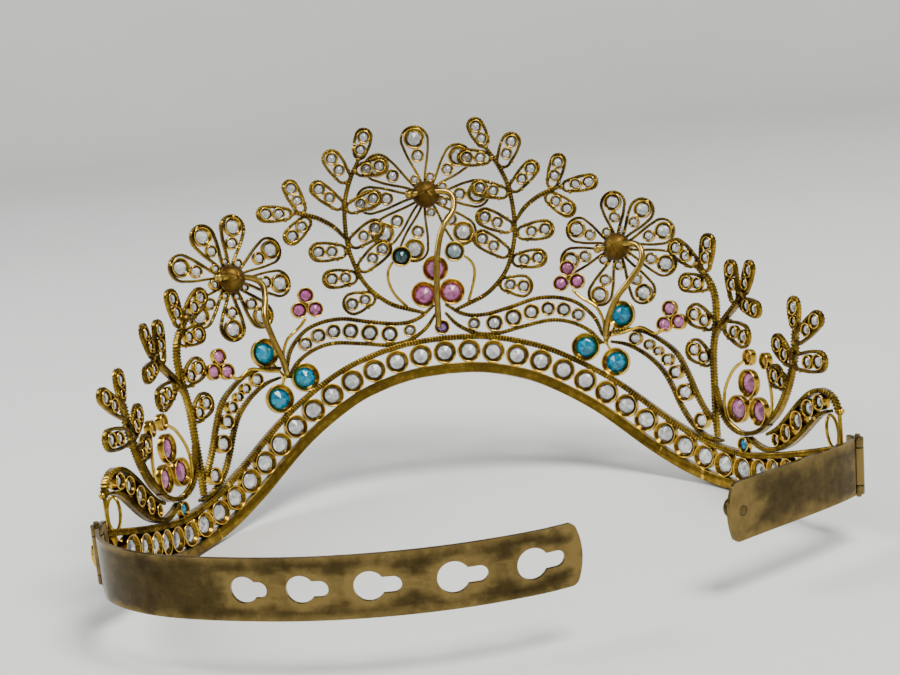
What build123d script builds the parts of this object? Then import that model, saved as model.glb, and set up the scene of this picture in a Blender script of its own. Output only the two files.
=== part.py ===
from build123d import *
import os
from math import sin, cos, asin, atan2, radians, degrees, dist, hypot, copysign

# Gilt filigree crown: an open bell-shaped band with milled-wire scrolls, leaf sprays and
# three trembling flowers, closed behind the head by two hinged straps.
# Millimetres, +Z up, the front of the crown faces -Y, +X is the wearer's left.
#
# The crown is one leaning wall.  A place on it is given by
#   s    distance along the wall from the centre front (positive to the left)
#   h    height up the wall, 0 at the band's stones beside the hinges
#   out  distance outside the wall (negative is inside, on the head's side)

# ---- the wall -------------------------------------------------------------------------
WALL_TURNS = [(22, 0), (76, 77), (12, 0), (22, -15)]    # (length, turn in degrees) from the centre
WALL_DEPTH = 84.0           # centre front to the head's centre plane, before leaning
FORWARD_LEAN = 18.0         # the wall leans forward by this many degrees
SHIFT_Y, SHIFT_Z = 44.07, 21.18

# ---- the band -------------------------------------------------------------------------
BAND_LINE = [(0, 43.4), (10, 42.8), (20, 40.5), (30, 36.4), (44, 27.2), (60, 13.5), (72, 5.9),
             (85, 1.5), (98, 0.4), (115, 0.3), (132, 0.8)]  # (s, h) of the row of stones
BAND_PITCH = 6.9            # between neighbouring stones
BAND_STONES_EACH_SIDE = 19
BAND_COLLET_R = 3.3
RIM_DEPTH = 2.4
UPPER_RIM_WIDTH, UPPER_RIM_OFFSET = 1.5, 4.02       # milled; offset from the stones' line
LOWER_RIM_WIDTH, LOWER_RIM_OFFSET = 2.9, 4.72       # a broad plain strip
BAND_END = 130.0

# ---- milled wire and collets ----------------------------------------------------------
RAIL_WIDTH = 1.05           # wire of the scrolls' rails and the cradles
STALK_WIDTH = 1.2           # wire of the sprays' stems and branches
STRIP_DEPTH = 2.0
WIRE_R = 0.45               # round wire of the tendrils
COLLET_WALL = 0.42
COLLET_DEPTH = 2.4
CLUSTER_COLLET_DEPTH = 1.8    # collets of the trefoils and the amber stones
TOUCH = 0.03                # soldered neighbours run into each other by this much
SOLDER_GAP = 0.14           # two collets on one wire loop stand this far apart

# ---- scrolls: (s, h) along the upper and the lower rail --------------------------------
INNER_SCROLL = ([(1.6, 57.0), (6.7, 53.6), (12.7, 52.9), (21, 54.4), (27.2, 55.8), (33.2, 55.5),
                 (38.9, 53.3), (43.6, 48.3), (45.4, 42.8)],
                [(1.4, 54.6), (4.7, 50.6), (10, 47.7), (16.1, 47.2), (22.3, 48.2), (30.4, 49.2),
                 (36.2, 48.1), (41.5, 45.0), (44.9, 40.9)])
INNER_STONES = [10.3, 14.9, 20.0, 25.4, 30.9, 36.0, 40.4]
OUTER_SCROLL = ([(47.2, 43.4), (52.5, 43.6), (57.6, 42.2), (62.6, 38.9), (66.9, 34.6), (69.6, 28.6),
                 (71.6, 22.8), (73.9, 18.0), (76.7, 15.2)],
                [(47.6, 40.8), (51.6, 39.6), (55.3, 37.4), (58.8, 34.4), (61.9, 30.6), (64.0, 26.2),
                 (66.0, 20.6), (68.8, 15.4), (72.6, 11.6), (78, 9.6)])
OUTER_STONES = [56.2, 60.3, 63.6, 66.2, 68.5, 71.0, 74.3]
END_SCROLL = ([(97.6, 9.9), (103, 11.0), (109, 13.8), (114.5, 16.6), (119.5, 18.6), (123.8, 18.6),
               (127.0, 16.2), (128.0, 12.6)],
              [(88.6, 9.6), (91.5, 7.5), (95.5, 6.05), (101, 6.0), (107, 6.9), (112.5, 8.7),
               (117.5, 11.1), (121.5, 13.1), (125, 13.6)])
END_STONES = [101.4, 106.4, 111.6, 116.8, 121.9]

# ---- leaf sprays: stems, and for each leaf the (s, h) of its outer and inner collets ----
CENTER_STEM = [(4.6, 55.2), (8.6, 56.6), (14.5, 59.2), (20.4, 65.3), (23.6, 74.0), (24.2, 81.7),
               (23.5, 89.3), (21.2, 95.8), (18.6, 100.6)]
CENTER_BRANCH = [(24.3, 78.4), (27.6, 82.4), (32.5, 85.4), (38.2, 86.9)]
CENTER_LEAVES = [((16.2, 107.4), (18.4, 103.7)), ((26.0, 102.0), (25.4, 97.5)),
                 ((30.6, 93.4), (28.6, 89.4)), ((38.6, 94.0), (36.1, 90.4)),
                 ((46.8, 86.9), (42.9, 87.1)), ((39.6, 80.4), (36.2, 82.2)),
                 ((32.6, 75.4), (28.6, 74.8)), ((29.6, 67.4), (25.6, 66.8)),
                 ((24.6, 59.8), (20.4, 60.0)), ((12.6, 98.6), (16.4, 97.2)),
                 ((15.4, 89.4), (19.2, 87.2)), ((15.8, 80.8), (18.8, 78.0)),
                 ((14.3, 74.6), (17.4, 71.4))]
OUTER_STEM = [(76.6, 10.7), (76.9, 16.3), (77.8, 24), (79.0, 33.3), (81.4, 41), (82.3, 47.5),
              (80.9, 52.4), (77.2, 57.2)]
OUTER_BRANCH = [(80.2, 37.4), (84.4, 41.2), (89, 43.8), (93.4, 46.2)]
OUTER_LEAVES = [((71.0, 63.4), (74.2, 60.2)), ((82.2, 62.4), (82.0, 58.4)),
                ((90.0, 53.8), (88.4, 50.2)), ((98.4, 52.2), (96.2, 49.0)),
                ((98.8, 42.0), (95.0, 41.6)), ((91.6, 35.8), (87.8, 36.6)),
                ((73.0, 53.4), (76.8, 51.0)), ((74.2, 44.4), (77.2, 41.8)),
                ((72.6, 35.0), (75.6, 31.8))]
END_STEM = [(98.0, 12.6), (103.6, 15.4), (108.6, 19.6), (112.4, 24.4), (115, 29.4), (116.2, 34.0)]
END_LEAVES = [((117.0, 39.8), (116.8, 35.8)), ((107.8, 31.8), (110.2, 28.6)),
              ((124.4, 35.4), (120.8, 31.6)), ((123.6, 25.6), (119.6, 24.9)),
              ((104.4, 24.2), (107.6, 22.4))]
LEAF_OUTER_R, LEAF_INNER_R = 3.45, 3.0      # the loop's half width round its two collets
LEAF_WIRE, LEAF_DEPTH = 0.85, 1.2
LEAF_COLLETS, LEAF_COLLET_DEPTH = (1.95, 1.8), 1.6
CRADLE = [(78.2, 24.2), (78.6, 21), (79.3, 17.2), (81.6, 13.4), (86.0, 10.9), (92.2, 10.8), (98.2, 12.4)]

# ---- stone clusters --------------------------------------------------------------------
TURQUOISE = [(51.4, 47.9), (40.05, 40.35), (48.15, 34.95)]
TURQUOISE_R, TURQUOISE_HUB = 4.05, (45.9, 41.0)
CENTER_PINK = [(0, 67.4), (3.95, 60.4), (-3.95, 60.4)]
END_PINK = [(91.2, 23.6), (85.6, 17.4), (94.2, 15.9)]
PINK_R = 3.75
SMALL_PINK_CENTERS = [(37.6, 60.6), (66.4, 44.6)]
SMALL_PINK_R = 2.3
AMBER = [(92.9, 30.2), (100.6, 28.4)]
AMBER_R = 2.2
TEAL, OPAL, DARK_R = (9.2, 71.9), (-6.0, 71.8), 2.9
PURPLE, PURPLE_R = (0, 50.55), 2.15
TINY_TURQUOISE, TINY_TURQUOISE_R = (86.2, 7.95), 2.1

# ---- tendrils: (s, h) lines of round wire ----------------------------------------------
INNER_TENDRIL = [(38.4, 57.0), (40.8, 54.2), (44.6, 51.2), (46.3, 47.0), (46.0, 42.6)]
OUTER_TENDRIL = [(65.0, 41.9), (61.9, 41.0), (57.6, 43.4), (52, 42.6), (47.6, 42.4)]
AMBER_TENDRILS = [[(85.6, 11.2), (80.9, 15.4), (81.2, 22.4), (85.4, 27.6), (90.2, 29.6)],
                  [(95.8, 11.5), (98.7, 13.6), (100.9, 17.4), (101.2, 22.0), (100.7, 26.3)]]
TEAL_TENDRIL = [(11.9, 70.6), (13.3, 68.4), (13.6, 65), (12.1, 61), (8.9, 57.2)]
OPAL_TENDRIL = [(-8.7, 70.4), (-10.7, 68.0), (-11.1, 65), (-9.9, 61), (-8.3, 57.0)]

# ---- flowers ---------------------------------------------------------------------------
FLOWERS = {"center": (0, 89.9), "left": (57.0, 69.4), "right": (-51.2, 67.8)}   # (s, h) of the hub
# each petal is bent by hand: (turn in degrees from the wall's left, distance of its big collet)
PETALS = {"center": [(85, 17.0), (36, 16.3), (0, 16.6), (323, 16.6), (288, 16.3), (231, 15.3),
                     (184, 15.0), (136, 15.0)],
          "left": [(100, 15.2), (58, 14.0), (12, 15.4), (316, 14.6), (272, 14.0), (228, 14.0),
                   (184, 16.4), (149, 16.6)],
          "right": [(91, 13.0), (133, 12.8), (171, 14.2), (208, 15.2), (247, 15.4), (299, 14.6),
                    (354, 14.6), (32, 13.6)]}
PETAL_SIZES = {"center": (4.3, 3.1, 2.0), "left": (4.05, 2.8, 1.9), "right": (3.9, 2.6, 1.8)}
#                                         half width of a petal, radius of its two collets
PETAL_WIRE, PETAL_DEPTH, PETAL_COLLET_DEPTH = 0.75, 1.2, 1.7
PETAL_ROOT = 2.97           # the petals' points sit on the hub's boss at this distance
FLOWER_OUT = 5.0            # the petals stand this far in front of the wall
HUB_R = 4.0
RING_COLLET_R = 1.45        # the largest of the small collets round the hub, between the petals
PIVOT_OUT = 2.0             # the stem's hook passes through the hub here
STEM_R, STEM_BORE_R = 0.90, 0.95
STEM_HOOK = (5.0, -4.6)     # the straight pivot, from its head to where it bends

# ---- hinges and straps -----------------------------------------------------------------
PIN_X, PIN_Y, PIN_R = 87.0, -7.2, 0.62
PIN_LENGTH = 15.2
STRAP_MID_Z = SHIFT_Z - 2.0
STRAP_HEIGHT, STRAP_THICK = 13.6, 0.8
KNUCKLE_R, KNUCKLE_BORE_R, KNUCKLE_HALF = 1.35, 0.68, 4.4
LEFT_STRAP = [(87.0, -7.2), (84.2, 4), (75.5, 13.6), (63, 20.6), (45, 27), (28, 30.2), (11, 30.8),
              (-5, 28.8), (-15.6, 25.6)]
RIGHT_STRAP = [(-87.0, -7.2), (-80.6, -2.6), (-70, 3.6), (-59, 9.6), (-49.6, 14.9)]
KEYHOLES = [(49, 2.9, 3.2), (61, 3.0, 4.0), (75, 3.2, 4.8), (92, 3.4, 5.3), (108.5, 3.4, 5.3)]
#                                       (distance from the left pin, radius, reach of the slot)
KEYHOLE_SLOT = 3.5
STUD_FROM_END, STUD_SHANK_R, STUD_HEAD_R = 4.2, 1.2, 2.5
HINGE_COLLET_S, HINGE_COLLET_R = 125.7, 4.4


# ======================= places on the wall ==============================================
def wall_plan(s):
    """x, y and heading (radians) of the unleaned wall at distance s >= 0 from the centre."""
    x, y, heading, left = 0.0, -WALL_DEPTH, 0.0, s
    for index, (length, turn) in enumerate(WALL_TURNS):
        last = index == len(WALL_TURNS) - 1
        step = left if last else min(left, length)
        bend = radians(turn) * step / length
        if abs(bend) < 1e-9:
            x, y = x + step * cos(heading), y + step * sin(heading)
        else:
            radius = step / bend
            x += radius * (sin(heading + bend) - sin(heading))
            y += radius * (cos(heading) - cos(heading + bend))
        heading += bend
        left -= step
        if left <= 1e-9:
            break
    return x, y, heading


def lean(x, y, z):
    """Lean a point of the upright wall forward and bring it into the crown's frame."""
    k = radians(FORWARD_LEAN)
    return Vector(x, y * cos(k) - z * sin(k) + SHIFT_Y, y * sin(k) + z * cos(k) + SHIFT_Z)


def on_wall(s, h, out=0.0):
    x, y, heading = wall_plan(abs(s))
    return lean(copysign(x + out * sin(heading), s), y - out * cos(heading), h)


def wall_plane(s, h, out=0.0):
    """Plane touching the wall: x along the wall to the left, y up it, z outward."""
    heading = wall_plan(abs(s))[2] * (1 if s >= 0 else -1)
    zero = lean(0, 0, 0)
    along = lean(cos(heading), sin(heading), 0) - zero
    outward = lean(sin(heading), -cos(heading), 0) - zero
    return Plane(origin=on_wall(s, h, out), x_dir=along, z_dir=outward)


def smooth(points, step=1.5):
    """Points along a smooth curve through the given ones (Catmull-Rom), about step apart."""
    ends = [tuple(2 * a - b for a, b in zip(points[0], points[1]))] + list(points)
    ends.append(tuple(2 * a - b for a, b in zip(points[-1], points[-2])))
    line = [tuple(points[0])]
    for p0, p1, p2, p3 in zip(ends, ends[1:], ends[2:], ends[3:]):
        count = max(1, round(dist(p1, p2) / step))
        for i in range(1, count + 1):
            t = i / count
            line.append(tuple(
                0.5 * (2 * b + (c - a) * t + (2 * a - 5 * b + 4 * c - d) * t ** 2
                       + (3 * b - a - 3 * c + d) * t ** 3)
                for a, b, c, d in zip(p0, p1, p2, p3)))
    return line


def normals(line):
    """Unit normals (to the left of travel) at each point of a flat line."""
    result = []
    for i in range(len(line)):
        a, b = line[max(0, i - 1)], line[min(len(line) - 1, i + 1)]
        length = hypot(b[0] - a[0], b[1] - a[1])
        result.append((-(b[1] - a[1]) / length, (b[0] - a[0]) / length))
    return result


def band_height(s):
    """Height of the row of stones at distance s from the centre."""
    line = BAND_CURVE
    for (a, ha), (b, hb) in zip(line, line[1:]):
        if a <= abs(s) <= b:
            return ha + (hb - ha) * (abs(s) - a) / (b - a)
    return line[-1][1]


def nearest(line, point):
    """The point of a flat line nearest to the given one, and its distance."""
    best = None
    for (ax, ay), (bx, by) in zip(line, line[1:]):
        dx, dy = bx - ax, by - ay
        t = ((point[0] - ax) * dx + (point[1] - ay) * dy) / (dx * dx + dy * dy)
        t = min(1.0, max(0.0, t))
        spot = (ax + t * dx, ay + t * dy)
        gap = hypot(spot[0] - point[0], spot[1] - point[1])
        if best is None or gap < best[1]:
            best = (spot, gap)
    return best


# ======================= shapes =========================================================
def strip(line, width=RAIL_WIDTH, depth=STRIP_DEPTH, out=0.0, taper=0.0):
    """Flat wire standing on edge along a line of (s, h) points; taper thins both ends."""
    rows = []
    last = len(line) - 1
    for i, ((s, h), (ns, nh)) in enumerate(zip(line, normals(line))):
        w = width / 2 * (1 - taper * (1 - min(1.0, min(i, last - i) / 3)))
        frame = wall_plane(s, h, out)
        rows.append([frame.from_local_coords(Vector(ns * a, nh * a, b)) for a, b in
                     ((-w, -depth / 2), (w, -depth / 2), (w, depth / 2), (-w, depth / 2))])
    edges = [Edge.make_spline([row[k] for row in rows]) for k in range(4)]
    faces = [Face.make_surface_from_curves(edges[k], edges[(k + 1) % 4]) for k in range(4)]
    faces += [Face(Wire.make_polygon(row, close=True)) for row in (rows[0], rows[-1])]
    return Solid(Shell(faces))


def wire_along(points, radius):
    """Round wire along 3-D points."""
    path = Edge.make_spline([Vector(*p) for p in points])
    start = Plane(origin=path @ 0, z_dir=path % 0)
    return sweep(start * Circle(radius), path=Wire([path]))


def tendril(line, radius=WIRE_R, out=-1.28, end_out=-0.8):
    """Round wire running just inside the wall, its last end set against the wall."""
    points = smooth(line, 2.5)
    count = len(points) - 1
    return wire_along([on_wall(s, h, out if i < count else end_out)
                       for i, (s, h) in enumerate(points)], radius).solid()


def collet(radius, depth=COLLET_DEPTH):
    """Open-backed cup: a tube with a ledge inside for the stone, opening towards +z."""
    inner, back = radius - COLLET_WALL, -depth / 2
    ledge = inner - 0.16 * radius
    profile = Polyline((radius, back), (radius, depth / 2), (inner, depth / 2), (inner, 0.1),
                       (ledge, 0.1 - 0.1 * radius), (ledge, back), close=True)
    return revolve(Plane.XZ * make_face(profile), Axis.Z).solid()


def stone(radius, table=0.58, depth=COLLET_DEPTH):
    """Cut stone for a collet of this radius: flat table to +z, pointed pavilion to -z."""
    girdle = radius - COLLET_WALL - 0.03
    low = max(-depth / 2 - 0.1, -0.52 * girdle)
    profile = Polyline((0, low), (girdle * 0.30, low + 0.10 * girdle), (girdle * 0.80, 0.02),
                       (girdle, 0.16), (girdle, 0.36), (girdle * table, 0.36 + 0.34 * girdle),
                       (0, 0.36 + 0.34 * girdle), close=True)
    return revolve(Plane.XZ * make_face(profile), Axis.Z).solid()


def teardrop(radius, reach, width=PETAL_WIRE, depth=PETAL_DEPTH):
    """Loop of flat wire: round end about the origin, its point at x = -reach."""
    def outline(r, tip):
        lift = asin(r / tip)
        a = Vector(-r * sin(lift), r * cos(lift))
        b = Vector(-r * sin(lift), -r * cos(lift))
        point = Vector(-tip, 0)
        return Wire([Line(point, a).edge(), ThreePointArc(a, (r, 0), b).edge(), Line(b, point).edge()])
    inner_tip = reach - width / (radius / reach)
    face = Face(outline(radius, reach), [outline(radius - width, inner_tip)])
    return Pos(0, 0, -depth / 2) * extrude(face, depth, dir=(0, 0, 1)).solid()


def egg_loop(outer_r, inner_r, length, width=LEAF_WIRE, depth=LEAF_DEPTH):
    """Egg-shaped loop of flat wire: wide end about the origin, narrow end about (-length, 0)."""
    def outline(r0, r1):
        nx = (outer_r - inner_r) / length
        ny = (1 - nx * nx) ** 0.5
        top, bottom = Vector(r0 * nx, r0 * ny), Vector(r0 * nx, -r0 * ny)
        low, high = Vector(r1 * nx - length, -r1 * ny), Vector(r1 * nx - length, r1 * ny)
        return Wire([ThreePointArc(top, (r0, 0), bottom).edge(), Line(bottom, low).edge(),
                     ThreePointArc(low, (-length - r1, 0), high).edge(), Line(high, top).edge()])
    face = Face(outline(outer_r, inner_r), [outline(outer_r - width, inner_r - width)])
    return (Pos(0, 0, -depth / 2) * extrude(face, depth, dir=(0, 0, 1))).solid()


def mirrored(solids):
    return [solid.mirror(Plane.YZ) for solid in solids]


def place(solid, s, h, out=0.0, turn=0.0):
    return (wall_plane(s, h, out).location * Rot(0, 0, turn) * solid).solid()


PARTS = {}


def add(name, solids):
    PARTS.setdefault(name, []).extend(solids)


def add_pair(name, solids):
    """The same pieces on the left half and, mirrored, on the right half."""
    add(name, list(solids) + mirrored(solids))


def set_stone(collets, stones, s, h, radius, depth=COLLET_DEPTH):
    """One collet with its stone, in the named nodes."""
    add(collets, [place(collet(radius, depth), s, h)])
    add(stones, [place(stone(radius, depth=depth), s, h)])


def set_stone_pair(collets, stones, s, h, radius, depth=COLLET_DEPTH):
    for side in (s, -s):
        set_stone(collets, stones, side, h, radius, depth)


# ======================= the band =======================================================
BAND_CURVE = smooth(BAND_LINE, 1.0)


def band_offset(offset, end=BAND_END):
    """Line from the right end to the left end of the band, offset from the stones' row."""
    steps = 88
    row = [(-end + 2 * end * i / steps, band_height(-end + 2 * end * i / steps))
           for i in range(steps + 1)]
    return [(s + ns * offset, h + nh * offset) for (s, h), (ns, nh) in zip(row, normals(row))]


def band_stations():
    """Stone places along the band, one pitch apart, starting at the centre."""
    places, s, h = [(0.0, band_height(0))], 0.0, band_height(0)
    while len(places) <= BAND_STONES_EACH_SIDE:
        t = s
        while hypot(t - s, band_height(t) - h) < BAND_PITCH:
            t += 0.02
        s, h = t, band_height(t)
        places.append((s, h))
    return places


add("lower_rim", [strip(band_offset(-LOWER_RIM_OFFSET, BAND_END - 1.8), LOWER_RIM_WIDTH, RIM_DEPTH)])
add("upper_rim", [strip(band_offset(UPPER_RIM_OFFSET), UPPER_RIM_WIDTH, RIM_DEPTH)])
for s, h in band_stations():
    for side in ((s, -s) if s else (s,)):
        set_stone("band_collets", "band_stones", side, h, BAND_COLLET_R)


# ======================= scrolls ========================================================
def add_scroll(name, rails, stations):
    """Two rails with a graduated row of collets wedged between them."""
    upper, lower = smooth(rails[0]), smooth(rails[1])
    add_pair(name + "_upper_rails", [strip(upper, taper=0.3)])
    add_pair(name + "_lower_rails", [strip(lower, taper=0.3)])
    centers = []
    for s in stations:
        h = next((a[1] + b[1]) / 2 for a, b in zip(upper, upper[1:]) if a[0] <= s <= b[0] or b is upper[-1])
        for _ in range(30):
            up, gap_up = nearest(upper, (s, h))
            low, gap_low = nearest(lower, (s, h))
            move = (gap_up - gap_low) / 2
            length = hypot(up[0] - low[0], up[1] - low[1])
            s += (up[0] - low[0]) / length * move
            h += (up[1] - low[1]) / length * move
        centers.append((s, h, gap_up - RAIL_WIDTH / 2 + TOUCH))
    for i, (s, h, radius) in enumerate(centers):
        for j in (i - 1, i + 1):
            if 0 <= j < len(centers):
                gap = hypot(centers[j][0] - s, centers[j][1] - h)
                radius = min(radius, gap * radius / (radius + centers[j][2]) - 0.03)
        set_stone_pair("scroll_collets", "scroll_stones", s, h, radius)


add_scroll("inner_scroll", INNER_SCROLL, INNER_STONES)
add_scroll("outer_scroll", OUTER_SCROLL, OUTER_STONES)
add_scroll("end_scroll", END_SCROLL, END_STONES)


# ======================= leaf sprays ====================================================
def segment_gap(one, other):
    """Smallest distance between two flat segments, each a pair of points."""
    return min([nearest(one, point)[1] for point in other] + [nearest(other, point)[1] for point in one])


def leaf_axis(leaf, lines):
    """Foot of a leaf on the nearest stem line, its direction and its reach to the outer collet."""
    outer, inner = leaf
    back = Vector(outer[0] - inner[0], outer[1] - inner[1]).normalized()
    aim = (inner[0] - 2.0 * back.X, inner[1] - 2.0 * back.Y)
    foot = min((nearest(line, aim) for line in lines), key=lambda found: found[1])[0]
    along = Vector(outer[0] - foot[0], outer[1] - foot[1])
    return foot, along.normalized(), along.length


def add_spray(name, stems, leaves):
    """Stem, branch and leaves: each leaf is a wire loop on the stem holding two collets."""
    lines = [smooth(stem) for stem in stems]
    for part, line in zip((name + "_stems", "spray_branches"), lines):
        add_pair(part, [strip(line, STALK_WIDTH, taper=0.3)])
    big, small = LEAF_COLLETS
    axes = [leaf_axis(leaf, lines) for leaf in leaves]
    root = LEAF_INNER_R + STALK_WIDTH / 2 - 0.5
    spans = [(leaf[0], (foot[0] + root * way.X, foot[1] + root * way.Y))
             for leaf, (foot, way, reach) in zip(leaves, axes)]
    for (outer, low), (foot, way, reach) in zip(spans, axes):
        room = min(segment_gap((outer, low), other) for other in spans if other[0] is not outer)
        outer_r = min(LEAF_OUTER_R, room / 2 - 0.12)
        inner_r = min(LEAF_INNER_R, room / 2 - 0.2)
        shift = outer_r - LEAF_WIRE - big - 0.02
        length = reach - shift - inner_r - STALK_WIDTH / 2 + 0.15
        middle = (outer[0] - shift * way.X, outer[1] - shift * way.Y)
        loop = egg_loop(outer_r, inner_r, length)
        add_pair(name + "_leaves", [place(loop, *middle, 0, degrees(atan2(way.Y, way.X)))])
        fitted = min(small, (shift + length + inner_r - LEAF_WIRE - big - SOLDER_GAP) / 2)
        for where, radius in ((0.0, big), (big + fitted + SOLDER_GAP, fitted)):
            set_stone_pair("leaf_collets", "leaf_stones", outer[0] - where * way.X,
                           outer[1] - where * way.Y, radius, LEAF_COLLET_DEPTH)


add_spray("center_spray", [CENTER_STEM, CENTER_BRANCH], CENTER_LEAVES)
add_spray("outer_spray", [OUTER_STEM, OUTER_BRANCH], OUTER_LEAVES)
add_spray("end_spray", [END_STEM], END_LEAVES)
add_pair("cradles", [strip(smooth(CRADLE), taper=0.3)])


# ======================= stone clusters and tendrils =====================================
def add_trefoil(name, centers, radius, hub=None, pair=True):
    """Three collets held together by a little three-armed wire star."""
    hub = hub or (sum(c[0] for c in centers) / 3, sum(c[1] for c in centers) / 3)
    star = place(Cylinder(0.7, 1.0).solid(), hub[0], hub[1], 0.6)
    for s, h in centers:
        length = hypot(s - hub[0], h - hub[1]) - radius + 0.25
        turn = degrees(atan2(h - hub[1], s - hub[0]))
        arm = Pos(length / 2, 0, 0) * Box(length, 0.7, 0.8)
        star = star + wall_plane(hub[0], hub[1], 0.6).location * Rot(0, 0, turn) * arm
        if pair:
            set_stone_pair(name + "_collets", name + "_stones", s, h, radius, CLUSTER_COLLET_DEPTH)
        else:
            set_stone(name + "_collets", name + "_stones", s, h, radius, CLUSTER_COLLET_DEPTH)
    (add_pair if pair else add)("trefoil_stars", [star.solid()])


add_trefoil("turquoise", TURQUOISE, TURQUOISE_R, TURQUOISE_HUB)
add_trefoil("pink", CENTER_PINK, PINK_R, pair=False)
add_trefoil("pink", END_PINK, PINK_R)
for index, (cs, ch) in enumerate(SMALL_PINK_CENTERS):
    ring = (SMALL_PINK_R + 0.06) / cos(radians(30))
    trio = [(cs + ring * cos(radians(a)), ch + ring * sin(radians(a))) for a in (90, 210, 330)]
    add_trefoil("pink", trio, SMALL_PINK_R)
for s, h in AMBER:
    set_stone_pair("amber_collets", "amber_stones", s, h, AMBER_R, CLUSTER_COLLET_DEPTH)
set_stone("accent_collets", "teal_stone", *TEAL, DARK_R)
set_stone("accent_collets", "opal_stone", *OPAL, DARK_R)
set_stone("accent_collets", "purple_stone", *PURPLE, PURPLE_R)
set_stone_pair("turquoise_collets", "turquoise_stones", *TINY_TURQUOISE, TINY_TURQUOISE_R,
               CLUSTER_COLLET_DEPTH)

add_pair("tendrils", [tendril(INNER_TENDRIL), tendril(OUTER_TENDRIL, out=-2.3, end_out=-1.0)])
add_pair("tendrils", [tendril(line, out=0.0, end_out=0.0) for line in AMBER_TENDRILS])
add("tendrils", [tendril(line, out=0.0, end_out=0.0) for line in (TEAL_TENDRIL, OPAL_TENDRIL)])


# ======================= end posts ======================================================
def end_post():
    """Post and oval loop of wire between the band's end and the curl of the end scroll."""
    post = wire_along([on_wall(127.0, 4.3), on_wall(127.6, 8.5), on_wall(128.0, 12.9)], 0.5)
    nub = Pos(*on_wall(128.3, 13.1, 0.3)) * Sphere(0.85)
    return (post + nub).solid()


def end_loop():
    """Tall oval of wire standing across the wall."""
    wall = wall_plane(124.9, 8.7)
    path = Edge.make_ellipse(3.9, 1.7, Plane(wall.origin, x_dir=wall.y_dir, z_dir=wall.x_dir))
    return sweep(Plane(origin=path @ 0, z_dir=path % 0) * Circle(0.4), path=Wire([path])).solid()


add_pair("end_posts", [end_post()])
add_pair("end_loops", [end_loop()])


# ======================= flowers ========================================================
def flower_hub():
    """Domed cap behind the petals, bored across for the stem's hook."""
    dome = Pos(0, 0, FLOWER_OUT - 0.8) * Sphere(HUB_R)
    dome = dome & Pos(0, 0, FLOWER_OUT - 0.8 - HUB_R / 2) * Box(9, 9, HUB_R)
    boss = Pos(0, 0, FLOWER_OUT + 0.25) * Cylinder(3.0, 2.1)
    bore = Pos(0, 0, PIVOT_OUT) * Rot(0, 90, 0) * Cylinder(STEM_BORE_R, 12)
    return (dome + boss - bore).solid()


def add_flower(side, s, h):
    """Hand-bent petals round a hub; the flower rocks on the hook of its stem."""
    plane = wall_plane(s, h).location
    half, big, small = PETAL_SIZES[side]
    places = []
    for turn, big_at in PETALS[side]:
        reach = big_at - (half - PETAL_WIRE - big) + 0.01
        petal = Pos(reach, 0, FLOWER_OUT) * teardrop(half, reach - PETAL_ROOT)
        add(side + "_flower_petals", [(plane * Rot(0, 0, turn) * petal).solid()])
        slope = half / (reach - PETAL_ROOT)
        fit = ((big_at - big - PETAL_ROOT) * slope - PETAL_WIRE + 0.02) / (1 + slope)
        small_r = min(small, fit)
        places += [(big_at, big, turn), (big_at - big - small_r - SOLDER_GAP, small_r, turn)]
    turns = sorted(turn for turn, _ in PETALS[side])
    lift = degrees(asin(half / (PETALS[side][0][1] - PETAL_ROOT)))
    for turn, after in zip(turns, turns[1:] + [turns[0] + 360]):
        share = radians((after - turn) / 2)
        for radius in (RING_COLLET_R, 1.3, 1.15, 1.0):
            x, y = (HUB_R + radius) * cos(share) - PETAL_ROOT, (HUB_R + radius) * sin(share)
            if y * cos(radians(lift)) - x * sin(radians(lift)) > radius - TOUCH:
                places.append((HUB_R + radius - TOUCH, radius, (turn + after) / 2))
                break
    for where, radius, angle in places:
        spot = plane * Rot(0, 0, angle) * Pos(where, 0, FLOWER_OUT)
        add(side + "_flower_collets", [(spot * collet(radius, PETAL_COLLET_DEPTH)).solid()])
        add(side + "_flower_stones", [(spot * stone(radius, depth=PETAL_COLLET_DEPTH)).solid()])
    add(side + "_flower_hub", [(plane * flower_hub()).solid()])
    front = plane * Pos(0, 0, FLOWER_OUT + 1.3 + COLLET_DEPTH / 2)
    add(side + "_flower_collets", [(front * collet(3.4)).solid()])
    add(side + "_flower_stones", [(front * stone(3.4)).solid()])


def add_stem(s, h, route):
    """Stem wire: its hook is the flower's pivot, then it bends over and drops to its foot.

    route gives places as (s, h) offsets from the hub and the distance out.
    """
    frame = wall_plane(s, h)
    head, bend = [frame.from_local_coords(Vector(x, 0, PIVOT_OUT)) for x in STEM_HOOK]
    drop = [on_wall(s + ds, h + dh, out) for ds, dh, out in route]
    hook = [tuple(head + (bend - head) * (i / 8)) for i in range(9)]
    body = wire_along(hook[:-1] + smooth([hook[-1]] + [tuple(point) for point in drop], 4.0), STEM_R)
    add("flower_stems", [(body + Pos(*head) * Sphere(1.35)).solid()])


for side, (s, h) in FLOWERS.items():
    add_flower(side, s, h)
add_stem(*FLOWERS["center"], [(-7.4, -2.2, 1.4), (-6.9, -6.3, 0.2), (-3.4, -11.0, -1.6),
                              (-0.9, -18.5, -2.7), (0.4, -29.0, -2.7), (1.0, -39.6, -1.9)])
add_stem(*FLOWERS["left"], [(-7.7, -2.2, 1.4), (-7.6, -6.4, 0.2), (-6.0, -11.4, -1.6),
                            (-7.2, -17.6, -2.7), (-9.6, -23.6, -2.7), (-11.1, -28.4, -1.9)])
add_stem(*FLOWERS["right"], [(-7.8, -2.3, 1.4), (-7.8, -6.5, 0.2), (-4.5, -11.0, -1.6),
                             (-0.4, -15.3, -2.7), (2.9, -20.6, -2.7), (4.9, -26.5, -1.9)])


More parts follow.
